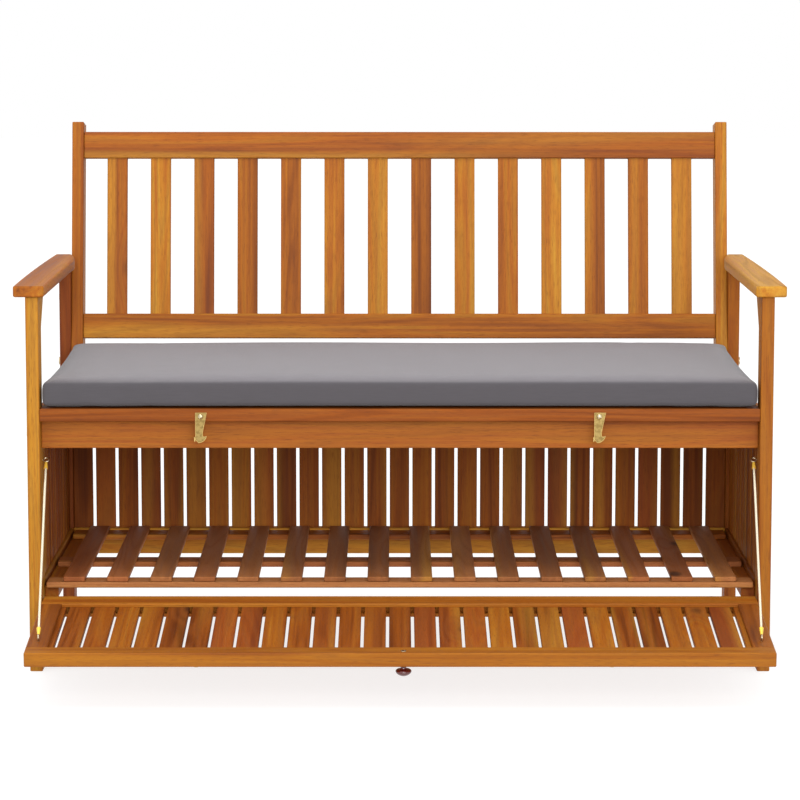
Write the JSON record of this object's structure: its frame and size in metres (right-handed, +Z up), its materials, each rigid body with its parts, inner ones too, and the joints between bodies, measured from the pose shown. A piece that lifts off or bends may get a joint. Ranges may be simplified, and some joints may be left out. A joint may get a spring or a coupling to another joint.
{
  "type": "garden storage bench",
  "caption": "Slatted wooden garden bench with armrests, seat cushion and a storage box under the seat, its front flap hinged low down and stayed by cords.",
  "frame": {"origin": "bottom centre of the bounding box, at floor level, with the flap hanging open as at rest", "axes": "+Z up; the bench faces -Y; +X is the viewer's right when facing its front"},
  "size_m": [1.2, 0.915, 0.8337],
  "materials": {
    "acacia": "oiled, with grain and small knots",
    "cushion_fabric": "grey woven polyester",
    "hook_brass": "brass-plated, slightly dull",
    "plated_steel": "yellow zinc-plated steel",
    "knob_lacquer": "turned wood, dark red gloss lacquer",
    "cord": "braided cream cord"
  },
  "bodies": {
    "frame": {"arm_dowels": "acacia", "armrest_left": "acacia", "armrest_right": "acacia", "back_lower_rail": "acacia", "back_slats": "acacia", "back_stile_left": "acacia", "back_stile_right": "acacia", "back_top_rail": "acacia", "frame_bolts": "plated_steel", "front_apron": "acacia", "front_bottom_rail": "acacia", "front_leg_left": "acacia", "front_leg_right": "acacia", "hinge_pins": "plated_steel", "hook_screws": "plated_steel", "rear_bottom_rail": "acacia", "rear_leg_left": "acacia", "rear_leg_right": "acacia", "rear_slats": "acacia", "rear_top_rail": "acacia", "seat_bearer_left": "acacia", "seat_bearer_middle": "acacia", "seat_bearer_right": "acacia", "seat_front_rail": "acacia", "seat_screws": "plated_steel", "seat_slats": "acacia", "shelf_front_rail": "acacia", "shelf_ledger_left": "acacia", "shelf_ledger_right": "acacia", "shelf_middle_rail": "acacia", "shelf_rear_rail": "acacia", "shelf_slats": "acacia", "side_bottom_rail_left": "acacia", "side_bottom_rail_right": "acacia", "side_slats_left": "acacia", "side_slats_right": "acacia", "side_top_rail_left": "acacia", "side_top_rail_right": "acacia", "stay_cord_left": "cord", "stay_cord_right": "cord", "upper_ferrules": "plated_steel", "upper_screw_eyes": "plated_steel"},
    "flap": {"flap_bottom_rail": "acacia", "flap_top_rail": "acacia", "flap_stile_left": "acacia", "flap_stile_right": "acacia", "flap_slats": "acacia", "knob": "knob_lacquer", "knob_screw": "plated_steel", "strikes": "plated_steel", "lower_screw_eyes": "plated_steel", "lower_ferrules": "plated_steel"},
    "hook_left": {"hook_left": "hook_brass"},
    "hook_right": {"hook_right": "hook_brass"},
    "cushion": {"cushion": "cushion_fabric"}
  },
  "joints": [
    {"name": "flap_hinge", "type": "hinge", "parent": "frame", "child": "flap", "pos_m": [0, -0.16901, 0.105], "axis": [-1, 0, 0], "range_deg": [0, 95.5], "deforming": ["stay_cord_left", "stay_cord_right"]},
    {"name": "hook_left_swing", "type": "hinge", "parent": "frame", "child": "hook_left", "pos_m": [-0.311, -0.1814, 0.4055], "axis": [0, 1, 0], "range_deg": [0, 100]},
    {"name": "hook_right_swing", "type": "hinge", "parent": "frame", "child": "hook_right", "pos_m": [0.311, -0.1814, 0.4055], "axis": [0, 1, 0], "range_deg": [0, 100]},
    {"name": "cushion_lift", "type": "slide", "parent": "frame", "child": "cushion", "axis": [0, 0, 1], "range_m": [0, 0.12]}
  ]
}
